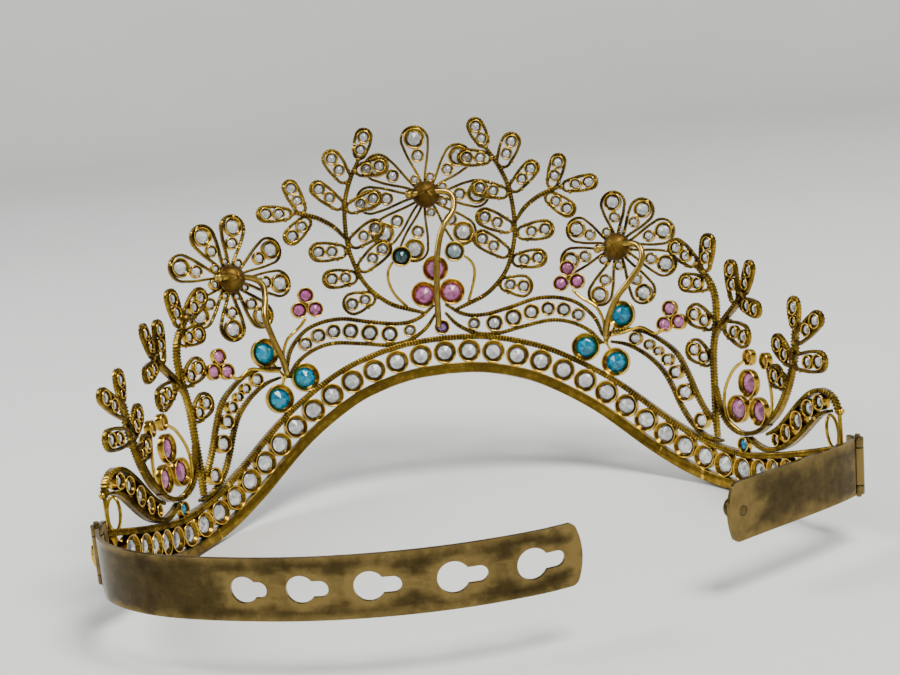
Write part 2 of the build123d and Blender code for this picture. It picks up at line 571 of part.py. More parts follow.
# ======================= hinges and straps ===============================================
def hinge_pin_center(side):
    return side * PIN_X, PIN_Y + SHIFT_Y


def hinge_bracket():
    """Left bracket: plate soldered across the band's end with an eyelet above and below."""
    x, y = hinge_pin_center(1)
    heading = wall_plan(BAND_END)[2]
    turn = degrees(atan2(-sin(heading), -cos(heading)))
    plate = Pos(x, y, STRAP_MID_Z) * Rot(0, 0, turn) * Pos(1.9, 0, 0) * Box(2.2, 1.2, STRAP_HEIGHT)
    gap = Pos(x, y, STRAP_MID_Z) * Cylinder(KNUCKLE_R + 0.35, 2 * KNUCKLE_HALF + 0.5)
    eye_height = STRAP_HEIGHT / 2 - KNUCKLE_HALF - 0.25
    eyes = [Pos(x, y, STRAP_MID_Z + side * (STRAP_HEIGHT / 2 - eye_height / 2))
            * Cylinder(KNUCKLE_R, eye_height) for side in (1, -1)]
    bore = Pos(x, y, STRAP_MID_Z) * Cylinder(PIN_R, 30)
    return (plate - gap + eyes[0] + eyes[1] - bore).solid()


def strap_outline(path):
    """Closed flat outline of a strap's plate, following its path at half thickness either side."""
    line = smooth(path, 3.0)
    sides = []
    for offset in (STRAP_THICK / 2, -STRAP_THICK / 2):
        sides.append([Vector(x + nx * offset, y + SHIFT_Y + ny * offset)
                      for (x, y), (nx, ny) in zip(line, normals(line))])
    a, b = Edge.make_spline(sides[0]), Edge.make_spline(sides[1])
    return Face(Wire([a, Edge.make_line(a @ 1, b @ 1), b, Edge.make_line(b @ 0, a @ 0)]))


def along_path(path, distance):
    """Point and heading (degrees) on a strap's path at a distance from its pin."""
    line, walked = smooth(path, 0.5), 0.0
    for a, b in zip(line, line[1:]):
        step = hypot(b[0] - a[0], b[1] - a[1])
        if walked + step >= distance:
            t = (distance - walked) / step
            return (a[0] + (b[0] - a[0]) * t, a[1] + (b[1] - a[1]) * t + SHIFT_Y,
                    degrees(atan2(b[1] - a[1], b[0] - a[0])))
        walked += step
    return line[-1][0], line[-1][1] + SHIFT_Y, degrees(atan2(b[1] - a[1], b[0] - a[0]))


def strap(path):
    """Strap plate with a rolled knuckle at the pin and a rounded free end."""
    x, y = path[0][0], path[0][1] + SHIFT_Y
    plate = Pos(0, 0, STRAP_MID_Z - STRAP_HEIGHT / 2) * extrude(strap_outline(path), STRAP_HEIGHT, dir=(0, 0, 1))
    for side in (1, -1):
        z = STRAP_MID_Z + side * (KNUCKLE_HALF + 4)
        plate = plate - Pos(x, y, z) * Cylinder(KNUCKLE_R + 0.4, 8)
    knuckle = Pos(x, y, STRAP_MID_Z) * Cylinder(KNUCKLE_R, 2 * KNUCKLE_HALF)
    bore = Pos(x, y, STRAP_MID_Z) * Cylinder(KNUCKLE_BORE_R, 30)
    length = path_length(path)
    ex, ey, heading = along_path(path, length)
    end = Pos(ex, ey, STRAP_MID_Z) * Rot(0, 0, heading)
    blank = Rot(90, 0, 0) * extrude(end_profile(), 6, both=True)
    return (plate + knuckle - bore - end * blank).solid()


def end_profile():
    """Waste cut off the free end, leaving it slightly convex with rounded corners."""
    half, bulge, corner = STRAP_HEIGHT / 2, 1.2, 1.6
    rim = Wire([Line((-bulge - corner, half), (-bulge - corner, half + 3)).edge(),
                Line((-bulge - corner, half + 3), (4, half + 3)).edge(),
                Line((4, half + 3), (4, -half - 3)).edge(),
                Line((4, -half - 3), (-bulge - corner, -half - 3)).edge(),
                Line((-bulge - corner, -half - 3), (-bulge - corner, -half)).edge(),
                ThreePointArc((-bulge - corner, -half), (-bulge - 0.35, -half + 0.55),
                              (-bulge + 0.25, -half + corner)).edge(),
                ThreePointArc((-bulge + 0.25, -half + corner), (0, 0),
                              (-bulge + 0.25, half - corner)).edge(),
                ThreePointArc((-bulge + 0.25, half - corner), (-bulge - 0.35, half - 0.55),
                              (-bulge - corner, half)).edge()])
    return Face(rim)


def path_length(path):
    line = smooth(path, 0.5)
    return sum(hypot(b[0] - a[0], b[1] - a[1]) for a, b in zip(line, line[1:]))


def keyhole(distance, radius, reach):
    """Round hole for the stud's head, opening into a slot towards the free end."""
    x, y, heading = along_path(LEFT_STRAP, distance)
    place_here = Pos(x, y, STRAP_MID_Z) * Rot(0, 0, heading)
    round_part = place_here * Rot(90, 0, 0) * Cylinder(radius, 6)
    slot = place_here * Pos(reach / 2, 0, 0) * Box(reach, 6, KEYHOLE_SLOT)
    slot_end = place_here * Pos(reach, 0, 0) * Rot(90, 0, 0) * Cylinder(KEYHOLE_SLOT / 2, 6)
    return round_part + slot + slot_end


def stud_place():
    x, y, heading = along_path(RIGHT_STRAP, path_length(RIGHT_STRAP) - STUD_FROM_END)
    return Pos(x, y, STRAP_MID_Z) * Rot(0, 0, heading) * Rot(90, 0, 0)


left = strap(LEFT_STRAP)
for measures in KEYHOLES:
    left = left - keyhole(*measures)
add("left_strap", [left.solid()])
stud_hole = stud_place() * Cylinder(STUD_SHANK_R, 6)
add("right_strap", [(strap(RIGHT_STRAP) - stud_hole).solid()])
shank = Pos(0, 0, 0.95) * Cylinder(STUD_SHANK_R, 2.7)
cap = Pos(0, 0, 2.3) * Sphere(STUD_HEAD_R) & Pos(0, 0, 3.0) * Box(8, 8, 1.4)
add("stud", [(stud_place() * (shank + cap)).solid()])

add_pair("hinge_brackets", [hinge_bracket()])
for side in (1, -1):
    x, y = hinge_pin_center(side)
    add("hinge_pins", [(Pos(x, y, STRAP_MID_Z) * Cylinder(PIN_R, PIN_LENGTH)).solid()])
    add("hinge_collets", [place(collet(HINGE_COLLET_R), side * HINGE_COLLET_S, 0.6,
                                (RIM_DEPTH + COLLET_DEPTH) / 2)])
    add("hinge_stones", [place(stone(HINGE_COLLET_R), side * HINGE_COLLET_S, 0.6,
                               (RIM_DEPTH + COLLET_DEPTH) / 2)])

os.makedirs("parts", exist_ok=True)
for name, solids in PARTS.items():
    shape = solids[0] if len(solids) == 1 else Compound(children=solids)
    export_step(shape, "parts/" + name + ".step")
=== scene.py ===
import random
from math import asin, atan2, copysign, cos, dist, hypot, pi, radians, sin

import bmesh
import bpy
import numpy as np
from mathutils import Matrix, Vector, noise


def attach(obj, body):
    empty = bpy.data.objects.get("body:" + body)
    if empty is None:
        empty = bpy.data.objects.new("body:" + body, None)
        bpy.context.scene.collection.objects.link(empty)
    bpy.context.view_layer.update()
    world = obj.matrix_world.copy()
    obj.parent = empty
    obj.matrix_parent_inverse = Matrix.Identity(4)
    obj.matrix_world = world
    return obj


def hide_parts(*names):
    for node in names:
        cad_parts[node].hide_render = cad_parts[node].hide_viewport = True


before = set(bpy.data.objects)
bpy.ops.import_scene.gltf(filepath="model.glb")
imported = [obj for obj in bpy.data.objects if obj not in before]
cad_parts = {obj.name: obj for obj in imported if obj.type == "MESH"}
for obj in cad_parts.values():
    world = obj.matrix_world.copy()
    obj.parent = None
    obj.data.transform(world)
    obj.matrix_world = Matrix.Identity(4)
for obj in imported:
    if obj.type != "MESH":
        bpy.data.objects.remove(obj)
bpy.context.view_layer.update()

# Gilt filigree crown.  Lengths are in millimetres up to mesh_piece(), which makes metres of them;
# the stage, lights and camera are placed in metres.
MM = 0.001
random.seed(7)

# ---- the wall: (s along it from the centre front, h up it, out from it) -------------------
WALL_TURNS = [(22, 0), (76, 77), (12, 0), (22, -15)]    # (length, turn in degrees)
WALL_DEPTH = 84.0           # centre front to the head's centre plane, before leaning
FORWARD_LEAN = radians(18)
SHIFT_Y, SHIFT_Z = 44.07, 21.18     # brings the crown's middle to the origin and its foot to the floor

# ---- the band ----------------------------------------------------------------------------
BAND_LINE = [(0, 43.4), (10, 42.8), (20, 40.5), (30, 36.4), (44, 27.2), (60, 13.5), (72, 5.9),
             (85, 1.5), (98, 0.4), (115, 0.3), (132, 0.8)]
RIM_DEPTH = 2.4
UPPER_RIM_WIDTH, UPPER_RIM_OFFSET, UPPER_RIM_END = 1.5, 4.02, 130.0
LOWER_RIM_WIDTH, LOWER_RIM_OFFSET, LOWER_RIM_END = 2.9, 4.72, 128.2

# ---- milled wire ---------------------------------------------------------------------------
RAIL_WIDTH, STALK_WIDTH, STRIP_DEPTH = 1.05, 1.2, 2.0
MILL_PITCH = 0.84           # one tooth of the milled edge
MILL_STEPS = 4              # rings of vertices in one tooth
RAIL_TOOTH, RIM_TOOTH, LEAF_TOOTH, PETAL_TOOTH = 0.17, 0.18, 0.06, 0.05     # height of the teeth
STRIP_TAPER, TAPER_RUN = 0.3, 4.5   # share of the width lost at a free end, and over what length
WIRE_R = 0.45               # round wire of the tendrils

# ---- scrolls: upper and lower rail ---------------------------------------------------------
SCROLLS = {
    "inner_scroll": ([(1.6, 57.0), (6.7, 53.6), (12.7, 52.9), (21, 54.4), (27.2, 55.8), (33.2, 55.5),
                      (38.9, 53.3), (43.6, 48.3), (45.4, 42.8)],
                     [(1.4, 54.6), (4.7, 50.6), (10, 47.7), (16.1, 47.2), (22.3, 48.2), (30.4, 49.2),
                      (36.2, 48.1), (41.5, 45.0), (44.9, 40.9)]),
    "outer_scroll": ([(47.2, 43.4), (52.5, 43.6), (57.6, 42.2), (62.6, 38.9), (66.9, 34.6),
                      (69.6, 28.6), (71.6, 22.8), (73.9, 18.0), (76.7, 15.2)],
                     [(47.6, 40.8), (51.6, 39.6), (55.3, 37.4), (58.8, 34.4), (61.9, 30.6),
                      (64.0, 26.2), (66.0, 20.6), (68.8, 15.4), (72.6, 11.6), (78, 9.6)]),
    "end_scroll": ([(97.6, 9.9), (103, 11.0), (109, 13.8), (114.5, 16.6), (119.5, 18.6),
                    (123.8, 18.6), (127.0, 16.2), (128.0, 12.6)],
                   [(88.6, 9.6), (91.5, 7.5), (95.5, 6.05), (101, 6.0), (107, 6.9), (112.5, 8.7),
                    (117.5, 11.1), (121.5, 13.1), (125, 13.6)])}

# ---- sprays: stems, and for each leaf the places of its outer and inner collets -------------
SPRAYS = {
    "center_spray": ([(4.6, 55.2), (8.6, 56.6), (14.5, 59.2), (20.4, 65.3), (23.6, 74.0),
                      (24.2, 81.7), (23.5, 89.3), (21.2, 95.8), (18.6, 100.6)],
                     [(24.3, 78.4), (27.6, 82.4), (32.5, 85.4), (38.2, 86.9)],
                     [((16.2, 107.4), (18.4, 103.7)), ((26.0, 102.0), (25.4, 97.5)),
                      ((30.6, 93.4), (28.6, 89.4)), ((38.6, 94.0), (36.1, 90.4)),
                      ((46.8, 86.9), (42.9, 87.1)), ((39.6, 80.4), (36.2, 82.2)),
                      ((32.6, 75.4), (28.6, 74.8)), ((29.6, 67.4), (25.6, 66.8)),
                      ((24.6, 59.8), (20.4, 60.0)), ((12.6, 98.6), (16.4, 97.2)),
                      ((15.4, 89.4), (19.2, 87.2)), ((15.8, 80.8), (18.8, 78.0)),
                      ((14.3, 74.6), (17.4, 71.4))]),
    "outer_spray": ([(76.6, 10.7), (76.9, 16.3), (77.8, 24), (79.0, 33.3), (81.4, 41), (82.3, 47.5),
                     (80.9, 52.4), (77.2, 57.2)],
                    [(80.2, 37.4), (84.4, 41.2), (89, 43.8), (93.4, 46.2)],
                    [((71.0, 63.4), (74.2, 60.2)), ((82.2, 62.4), (82.0, 58.4)),
                     ((90.0, 53.8), (88.4, 50.2)), ((98.4, 52.2), (96.2, 49.0)),
                     ((98.8, 42.0), (95.0, 41.6)), ((91.6, 35.8), (87.8, 36.6)),
                     ((73.0, 53.4), (76.8, 51.0)), ((74.2, 44.4), (77.2, 41.8)),
                     ((72.6, 35.0), (75.6, 31.8))]),
    "end_spray": ([(98.0, 12.6), (103.6, 15.4), (108.6, 19.6), (112.4, 24.4), (115, 29.4),
                   (116.2, 34.0)],
                  None,
                  [((117.0, 39.8), (116.8, 35.8)), ((107.8, 31.8), (110.2, 28.6)),
                   ((124.4, 35.4), (120.8, 31.6)), ((123.6, 25.6), (119.6, 24.9)),
                   ((104.4, 24.2), (107.6, 22.4))])}
LEAF_OUTER_R, LEAF_INNER_R = 3.45, 3.0      # half width round the outer and the inner collet
LEAF_WIRE, LEAF_DEPTH = 0.85, 1.2
LEAF_COLLET_R = 1.95        # the outer collet
LEAF_ROOT = LEAF_INNER_R + STALK_WIDTH / 2 - 0.5    # where the loop's narrow end begins, from the stem
OUTER_CLEARANCE, INNER_CLEARANCE = 0.12, 0.20       # kept free round each end beside its neighbours
STEM_BITE, COLLET_TOUCH = 0.15, 0.02        # the loop's bite into the stem, the collet's into the loop
LEAF_AIM = 2.0              # a leaf grows from the stem nearest to this far inside its inner collet
NARROW_SHARE, SIDE_BOW = 0.78, 0.30         # pinch of the narrow end and bow of the loop's two sides
CRADLE = [(78.2, 24.2), (78.6, 21), (79.3, 17.2), (81.6, 13.4), (86.0, 10.9), (92.2, 10.8),
          (98.2, 12.4)]

# ---- tendrils --------------------------------------------------------------------------------
# (line, out, out at the last point, on both sides)
TENDRILS = [([(38.4, 57.0), (40.8, 54.2), (44.6, 51.2), (46.3, 47.0), (46.0, 42.6)], -1.28, -0.8, True),
            ([(65.0, 41.9), (61.9, 41.0), (57.6, 43.4), (52, 42.6), (47.6, 42.4)], -2.3, -1.0, True),
            ([(85.6, 11.2), (80.9, 15.4), (81.2, 22.4), (85.4, 27.6), (90.2, 29.6)], 0.0, 0.0, True),
            ([(95.8, 11.5), (98.7, 13.6), (100.9, 17.4), (101.2, 22.0), (100.7, 26.3)], 0.0, 0.0, True),
            ([(11.9, 70.6), (13.3, 68.4), (13.6, 65), (12.1, 61), (8.9, 57.2)], 0.0, 0.0, False),
            ([(-8.7, 70.4), (-10.7, 68.0), (-11.1, 65), (-9.9, 61), (-8.3, 57.0)], 0.0, 0.0, False)]

# ---- flowers ---------------------------------------------------------------------------------
FLOWERS = {"center": (0, 89.9), "left": (57.0, 69.4), "right": (-51.2, 67.8)}   # (s, h) of the hub
# each petal is bent by hand: (turn in degrees from the wall's left, distance of its big collet)
PETALS = {"center": [(85, 17.0), (36, 16.3), (0, 16.6), (323, 16.6), (288, 16.3), (231, 15.3),
                     (184, 15.0), (136, 15.0)],
          "left": [(100, 15.2), (58, 14.0), (12, 15.4), (316, 14.6), (272, 14.0), (228, 14.0),
                   (184, 16.4), (149, 16.6)],
          "right": [(91, 13.0), (133, 12.8), (171, 14.2), (208, 15.2), (247, 15.4), (299, 14.6),
                    (354, 14.6), (32, 13.6)]}
PETAL_SIZES = {"center": (4.3, 3.1), "left": (4.05, 2.8), "right": (3.9, 2.6)}  # half width, big collet
PETAL_WIRE, PETAL_DEPTH = 0.75, 1.2
PETAL_ROOT = 2.97           # the petals start this far from the flower's axis
PETAL_TOUCH = 0.01          # bite of the big collet into its petal
FLOWER_OUT, PIVOT_OUT = 5.0, 2.0    # how far the petals and the stem's hook stand off the wall
HUB_R, HUB_SINK = 4.0, 0.8  # the domed cap, and how far it sits behind the petals
STEM_R, STEM_HEAD_R = 0.90, 1.35
STEM_HOOK = (5.0, -4.6)     # the hook lies along the wall between these two places
# the rest of each stem's route: (s, h) from the hub, out
STEM_ROUTES = {"center": [(-7.4, -2.2, 1.4), (-6.9, -6.3, 0.2), (-3.4, -11.0, -1.6),
                          (-0.9, -18.5, -2.7), (0.4, -29.0, -2.7), (1.0, -39.6, -1.9)],
               "left": [(-7.7, -2.2, 1.4), (-7.6, -6.4, 0.2), (-6.0, -11.4, -1.6),
                        (-7.2, -17.6, -2.7), (-9.6, -23.6, -2.7), (-11.1, -28.4, -1.9)],
               "right": [(-7.8, -2.3, 1.4), (-7.8, -6.5, 0.2), (-4.5, -11.0, -1.6),
                         (-0.4, -15.3, -2.7), (2.9, -20.6, -2.7), (4.9, -26.5, -1.9)]}

# ---- camera ----------------------------------------------------------------------------------
CAMERA_AT = (0.02898, 0.34368, 0.12785)
CAMERA_RIGHT = (-0.9914, 0.0973, -0.0880)
CAMERA_DOWN = (0.1067, 0.2076, -0.9724)
CAMERA_FORWARD = (-0.0764, -0.9734, -0.2162)
SENSOR_WIDTH, LENS = 36.0, 57.096   # millimetres


# ======================= places on the wall =====================================================
def wall_plan(s):
    """x, y and heading of the upright wall at distance s >= 0 from the centre front."""
    x, y, heading, left = 0.0, -WALL_DEPTH, 0.0, s
    for index, (length, turn) in enumerate(WALL_TURNS):
        step = left if index == len(WALL_TURNS) - 1 else min(left, length)
        bend = radians(turn) * step / length
        if abs(bend) < 1e-9:
            x, y = x + step * cos(heading), y + step * sin(heading)
        else:
            radius = step / bend
            x += radius * (sin(heading + bend) - sin(heading))
            y += radius * (cos(heading) - cos(heading + bend))
        heading += bend
        left -= step
        if left <= 1e-9:
            break
    return x, y, heading


def lean(v):
    """Tips a vector forward with the crown's wall."""
    x, y, z = v
    return np.array((x, y * cos(FORWARD_LEAN) - z * sin(FORWARD_LEAN),
                     y * sin(FORWARD_LEAN) + z * cos(FORWARD_LEAN)))


def wall_frame(s, h, out=0.0):
    """Origin on the wall and the unit vectors along it (to the left), up it and outward."""
    x, y, heading = wall_plan(abs(s))
    origin = lean((copysign(x + out * sin(heading), s), y - out * cos(heading), h))
    heading = copysign(heading, s)
    return (origin + (0, SHIFT_Y, SHIFT_Z), lean((cos(heading), sin(heading), 0)), lean((0, 0, 1)),
            lean((sin(heading), -cos(heading), 0)))


def smooth(points, step=1.5):
    """Points along a smooth curve (Catmull-Rom) through the given ones, about step apart."""
    ends = [tuple(2 * a - b for a, b in zip(points[0], points[1]))] + list(points)
    ends.append(tuple(2 * a - b for a, b in zip(points[-1], points[-2])))
    line = [tuple(points[0])]
    for p0, p1, p2, p3 in zip(ends, ends[1:], ends[2:], ends[3:]):
        count = max(1, round(dist(p1, p2) / step))
        for i in range(1, count + 1):
            t = i / count
            line.append(tuple(
                0.5 * (2 * b + (c - a) * t + (2 * a - 5 * b + 4 * c - d) * t ** 2
                       + (3 * b - a - 3 * c + d) * t ** 3)
                for a, b, c, d in zip(p0, p1, p2, p3)))
    return line


def resample(points, step):
    """The same polyline with its points evenly spaced, about step apart."""
    points = np.asarray(points, float)
    run = np.concatenate([[0], np.cumsum(np.linalg.norm(np.diff(points, axis=0), axis=1))])
    at = np.linspace(0, run[-1], max(2, round(run[-1] / step) + 1))
    return np.stack([np.interp(at, run, points[:, k]) for k in range(points.shape[1])], axis=1)


def nearest(line, point):
    """The point of a polyline nearest to the given one, and its distance."""
    best = None
    for (ax, ay), (bx, by) in zip(line, line[1:]):
        dx, dy = bx - ax, by - ay
        t = min(1.0, max(0.0, ((point[0] - ax) * dx + (point[1] - ay) * dy) / (dx * dx + dy * dy)))
        gap = hypot(ax + t * dx - point[0], ay + t * dy - point[1])
        if best is None or gap < best[1]:
            best = ((ax + t * dx, ay + t * dy), gap)
    return best


def segment_gap(one, other):
    """Smallest distance between two flat segments, each a pair of points."""
    return min([nearest(one, point)[1] for point in other]
               + [nearest(other, point)[1] for point in one])


BAND_CURVE = smooth(BAND_LINE, 1.0)


def band_offset(offset, end, points=177):
    """Line from end to end of the band, offset from the row of stones."""
    s = np.linspace(-end, end, points)
    h = np.interp(np.abs(s), *np.array(BAND_CURVE).T)
    slope = np.gradient(h, s)
    length = np.hypot(1, slope)
    return np.stack([s - offset * slope / length, h + offset / length], axis=1)


def unit(v):
    return v / np.linalg.norm(v)


def side_axes(axis, guide=None):
    """Two unit vectors square to an axis and to each other."""
    if guide is None:
        guide = (0.2, 0.1, 1.0) if abs(axis[2]) < 0.9 else (1.0, 0, 0)
    u = unit(np.cross(axis, guide))
    return u, np.cross(axis, u)


def directions(line):
    """Unit vectors along an array of points."""
    travel = np.gradient(line, axis=0)
    return travel / np.linalg.norm(travel, axis=1)[:, None]


def turned(along, up, angle):
    """Two square vectors turned together by an angle."""
    return along * cos(angle) + up * sin(angle), up * cos(angle) - along * sin(angle)


# ======================= meshes ===================================================================
class Soup:
    """Vertices (mm) and faces collected for one piece."""

    def __init__(self):
        self.verts, self.faces, self.smooth = [], [], []
        self.count = 0

    def add(self, verts, faces, smoothed=True):
        self.verts.append(np.asarray(verts, float))
        self.faces.extend(tuple(i + self.count for i in face) for face in faces)
        self.smooth.extend([smoothed] * len(faces))
        self.count += len(verts)


def both_sides(soup, verts, faces):
    """Adds a mesh and its mirror image on the other side of the crown."""
    soup.add(verts, faces)
    soup.add(np.asarray(verts) * (-1, 1, 1), [tuple(reversed(face)) for face in faces])


def mesh_piece(name, soup, material, body, replaced):
    """One visible piece, riding its CAD body in place of the named CAD nodes."""
    mesh = bpy.data.meshes.new(name)
    mesh.from_pydata((np.concatenate(soup.verts) * MM).tolist(), [], soup.faces)
    mesh.polygons.foreach_set("use_smooth", soup.smooth)
    mesh.materials.append(material)
    mesh.update()
    piece = bpy.data.objects.new(name, mesh)
    bpy.context.scene.collection.objects.link(piece)
    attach(piece, body)
    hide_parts(*replaced)


def grid_faces(rows, columns, closed_rows=False, caps=True):
    """Quads over rows x columns of vertices, the columns going round."""
    faces = []
    for i in range(rows if closed_rows else rows - 1):
        a, b = i * columns, (i + 1) % rows * columns
        for j in range(columns):
            k = (j + 1) % columns
            faces.append((a + j, a + k, b + k, b + j))
    if caps and not closed_rows:
        faces.append(tuple(reversed(range(columns))))
        faces.append(tuple((rows - 1) * columns + j for j in range(columns)))
    return faces


def milled_strip(origins, sides, outs, width=RAIL_WIDTH, depth=STRIP_DEPTH, taper=0.0,
                 tooth=RAIL_TOOTH, dome=0.7):
    """Flat wire on edge with milled edges and plain sides; sides is across, outs along its depth.

    The section runs over the domed front edge, from flank to flank, and back over the rear one.
    """
    rows = len(origins)
    across = np.array([-0.5, -0.5, -0.42, 0.0, 0.42, 0.5, 0.5]) * width
    domed = depth / 2 + np.array([0.0, -0.36, -0.08, 0.03, -0.08, -0.36, 0.0]) * min(width, dome)
    domed[0] = domed[-1] = depth / 2 - 0.62 * min(width, dome)      # the teeth run out here
    widen = np.array([0.0, -0.75, -0.7, 0.0, 0.7, 0.75, 0.0]) * tooth
    lift = np.array([0.0, 0.25, 1.0, 1.3, 1.0, 0.25, 0.0]) * tooth
    x, z = np.concatenate([across, -across]), np.concatenate([domed, -domed])
    swell, rise = np.concatenate([widen, -widen]), np.concatenate([lift, -lift])
    phase = np.cos(2 * pi * np.arange(rows) / MILL_STEPS)[:, None]
    grow = np.ones((rows, 1))
    if taper:
        from_end = np.minimum(np.arange(rows), rows - 1 - np.arange(rows)) * MILL_PITCH / MILL_STEPS
        grow[:, 0] = 1 - taper * (1 - np.minimum(1, from_end / TAPER_RUN))
    px = (x + phase * swell) * grow
    pz = z + phase * rise
    verts = (origins[:, None, :] + px[..., None] * sides[:, None, :]
             + pz[..., None] * outs[:, None, :])
    return verts.reshape(-1, 3), grid_faces(rows, len(x))


def wall_strip(line, **options):
    """Milled strip along a line of (s, h) points on the wall."""
    line = resample(line, MILL_PITCH / MILL_STEPS)
    frames = [wall_frame(s, h) for s, h in line]
    origins = np.array([f[0] for f in frames])
    sides = np.array([-t[1] * f[1] + t[0] * f[2] for t, f in zip(directions(line), frames)])
    outs = np.array([f[3] for f in frames])
    return milled_strip(origins, sides, outs, **options)


def plane_strip(outline, origin, across, up, normal, **options):
    """Milled strip along a flat outline in the plane of two vectors."""
    line = resample(outline, MILL_PITCH / MILL_STEPS)
    travel = directions(line)
    origins = origin + line[:, :1] * across + line[:, 1:] * up
    sides = -travel[:, 1:] * across + travel[:, :1] * up
    return milled_strip(origins, sides, np.repeat(normal[None], len(line), axis=0), **options)


def arc(radius, x, angles):
    """Points of an arc about (x, 0)."""
    return [(radius * cos(a) + x, radius * sin(a)) for a in angles]


def leaf_outline(outer_r, inner_r, length):
    """Egg-shaped loop: wide end round the origin, narrow end reaching to (-length - inner_r, 0)."""
    narrow_r = NARROW_SHARE * inner_r
    narrow_x = -length - inner_r + narrow_r
    tilt = pi / 2 - asin((outer_r - narrow_r) / -narrow_x)
    points = arc(narrow_r, narrow_x, np.linspace(pi, tilt, 10))
    start, end = points[-1], (outer_r * cos(tilt), outer_r * sin(tilt))
    for share in np.linspace(0.125, 0.875, 7):
        points.append((start[0] + (end[0] - start[0]) * share,
                       start[1] + (end[1] - start[1]) * share + SIDE_BOW * sin(pi * share)))
    points += arc(outer_r, 0.0, np.linspace(tilt, 0.0, 13))
    return points + [(x, -y) for x, y in points[-2::-1]]


def petal_outline(reach, radius):
    """Teardrop from its point at x = -reach, its round end about the origin, sides a little bowed."""
    lift = asin(radius / reach)
    round_end = arc(radius - PETAL_WIRE / 2, 0.0, np.linspace(pi / 2 + lift, -pi / 2 - lift, 27))
    end_x, end_y = round_end[0]
    half_point = 0.36       # half the gap between the two wires at the petal's point
    side = []
    for share in np.linspace(0.0, 0.9, 10):
        side.append((-reach + (end_x + reach) * share,
                     half_point + (end_y - half_point) * (share - 0.05 * sin(2 * pi * share))))
    return side + round_end + [(x, -y) for x, y in reversed(side)]


def tube(points, radius, sides=12, wobble=0.0, seed=0.0):
    """Round wire along 3-D points with domed ends."""
    line = resample(points, radius * 0.7)
    travel = directions(line)
    normal = np.cross(travel[0], (0.3, 0.2, 0.9))
    angles = np.arange(sides)[:, None] * 2 * pi / sides
    rows, size = [], len(line)
    for i, (p, t) in enumerate(zip(line, travel)):
        normal = unit(normal - t * normal.dot(t))
        other = np.cross(t, normal)
        r = radius * (1 + wobble * noise.noise(Vector((i * 0.23 + seed, seed, 0))))
        end = min(i, size - 1 - i)
        r *= (0.45, 0.85)[end] if end < 2 else 1.0
        rows.append(p + r * (np.cos(angles) * normal + np.sin(angles) * other))
    return np.concatenate(rows), grid_faces(size, sides)


def lathe(profile, origin, axis, turn, segments, waviness):
    """Revolved profile of (radius, height) points; waviness makes it look hand-made."""
    axis = unit(axis)
    u, v = side_axes(axis)
    rows = []
    for i in range(segments):
        angle = 2 * pi * i / segments + turn
        spoke = u * cos(angle) + v * sin(angle)
        wave = waviness * noise.noise(Vector((cos(angle) * 1.7, sin(angle) * 1.7, turn * 9)))
        rise = waviness * noise.noise(Vector((cos(angle) * 2.1, sin(angle) * 2.1, turn * 9 + 5)))
        rows += [origin + spoke * r * (1 + wave) + axis * (z + rise * 2.0 * abs(z))
                 for r, z in profile]
    return np.array(rows), grid_faces(segments, len(profile), closed_rows=True)


def collet_mesh(center, axis, radius, depth, turn):
    """Open-backed collet: bright rounded lips, a recessed ledge and a straight wall."""
    half, r = depth / 2, radius
    wall = min(0.4, 0.24 * r)
    seat = 0.66 * r
    back_lip = [(r, -half + 0.22), (r - 0.03, -half + 0.07), (r - 0.14, -half),
                (r - wall * 0.8, -half + 0.06), (r - wall, -half + 0.22)]
    ledge = [(seat + 0.05, -half + 0.62), (seat, -half + 0.75), (seat + 0.02, -0.15), (r - wall, 0.15)]
    front_lip = [(r - wall, half - 0.2), (r - wall * 0.8, half - 0.04), (r - 0.14, half),
                 (r - 0.03, half - 0.07), (r, half - 0.22)]
    outside = [(r + 0.015, 0.1), (r - 0.02, -0.2)]
    return lathe(back_lip + ledge + front_lip + outside, center, axis, turn, max(20, round(9 * r)), 0.022)


CULET_DEPTH = 0.42          # share of a stone's radius


def stone_mesh(center, axis, radius, turn):
    """Cut stone: eight-sided table in front, facets to a small culet behind."""
    axis = unit(axis)
    u, v = side_axes(axis)

    def ring(r, z, count, offset=0.0):
        angles = [turn + 2 * pi * (i + offset) / count for i in range(count)]
        return [center + (u * cos(a) + v * sin(a)) * r * radius + axis * z * radius for a in angles]

    table, girdle, lower_girdle = ring(0.56, 0.5, 8), ring(1.0, 0.17, 16), ring(1.0, 0.08, 16)
    pavilion, culet = ring(0.52, -0.22, 8, 0.5), [center - axis * CULET_DEPTH * radius]
    faces = [tuple(range(8))]
    for k in range(8):
        after = (k + 1) % 8
        g0, g1, g2 = 8 + 2 * k, 9 + 2 * k, 8 + (2 * k + 2) % 16             # on the girdle
        l0, l1, l2 = g0 + 16, g1 + 16, g2 + 16                              # on the lower girdle
        p, before, tip = 40 + k, 40 + (k - 1) % 8, 48                       # on the pavilion, culet
        faces += [(k, g0, g1), (k, g1, after), (after, g1, g2), (g0, l0, l1, g1), (g1, l1, l2, g2),
                  (l0, p, l1), (l1, p, l2), (l0, before, p), (before, tip, p)]
    return np.array(table + girdle + lower_girdle + pavilion + culet), faces


def blob(center, radius, axis, flat, seed, rings=5, segments=10):
    """Uneven lump, flattened along axis."""
    rows = []
    axis = unit(axis)
    u, v = side_axes(axis, (0.3, 0.9, 0.2))
    for i in range(rings):
        polar = pi * (i + 0.5) / rings
        for j in range(segments):
            angle = 2 * pi * j / segments
            d = u * sin(polar) * cos(angle) + v * sin(polar) * sin(angle) + axis * cos(polar) * flat
            bump = 1 + 0.22 * noise.noise(Vector(d * 1.6 + seed))
            rows.append(center + d * radius * bump)
    return np.array(rows), [tuple(reversed(f)) for f in grid_faces(rings, segments)]


